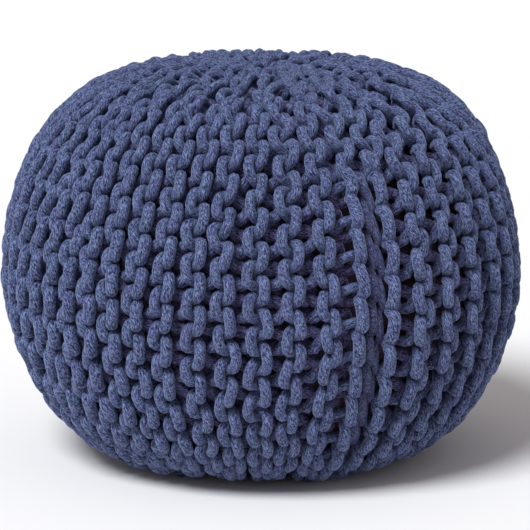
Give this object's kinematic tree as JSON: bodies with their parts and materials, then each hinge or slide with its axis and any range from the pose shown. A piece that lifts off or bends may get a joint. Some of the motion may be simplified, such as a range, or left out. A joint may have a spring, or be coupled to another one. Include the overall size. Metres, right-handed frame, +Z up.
{
  "type": "knitted pouf",
  "caption": "Round floor pouf in a chunky garter-stitch knitted cover, its ridges running from crown to flat base, with one laced seam.",
  "frame": {"origin": "middle of the flat underside, on the surface that the pouf stands on", "axes": "+Z up through the gathered crown, -Y towards the front, whose laced seam lies to the right of the middle, towards +X"},
  "size_m": [0.4494, 0.4495, 0.3448],
  "materials": {
    "cotton_cord": "matt navy blue knitted cotton cord, fibrous and slightly heathered"
  },
  "bodies": {
    "root": {"knitted_cover": "cotton_cord"}
  },
  "joints": []
}
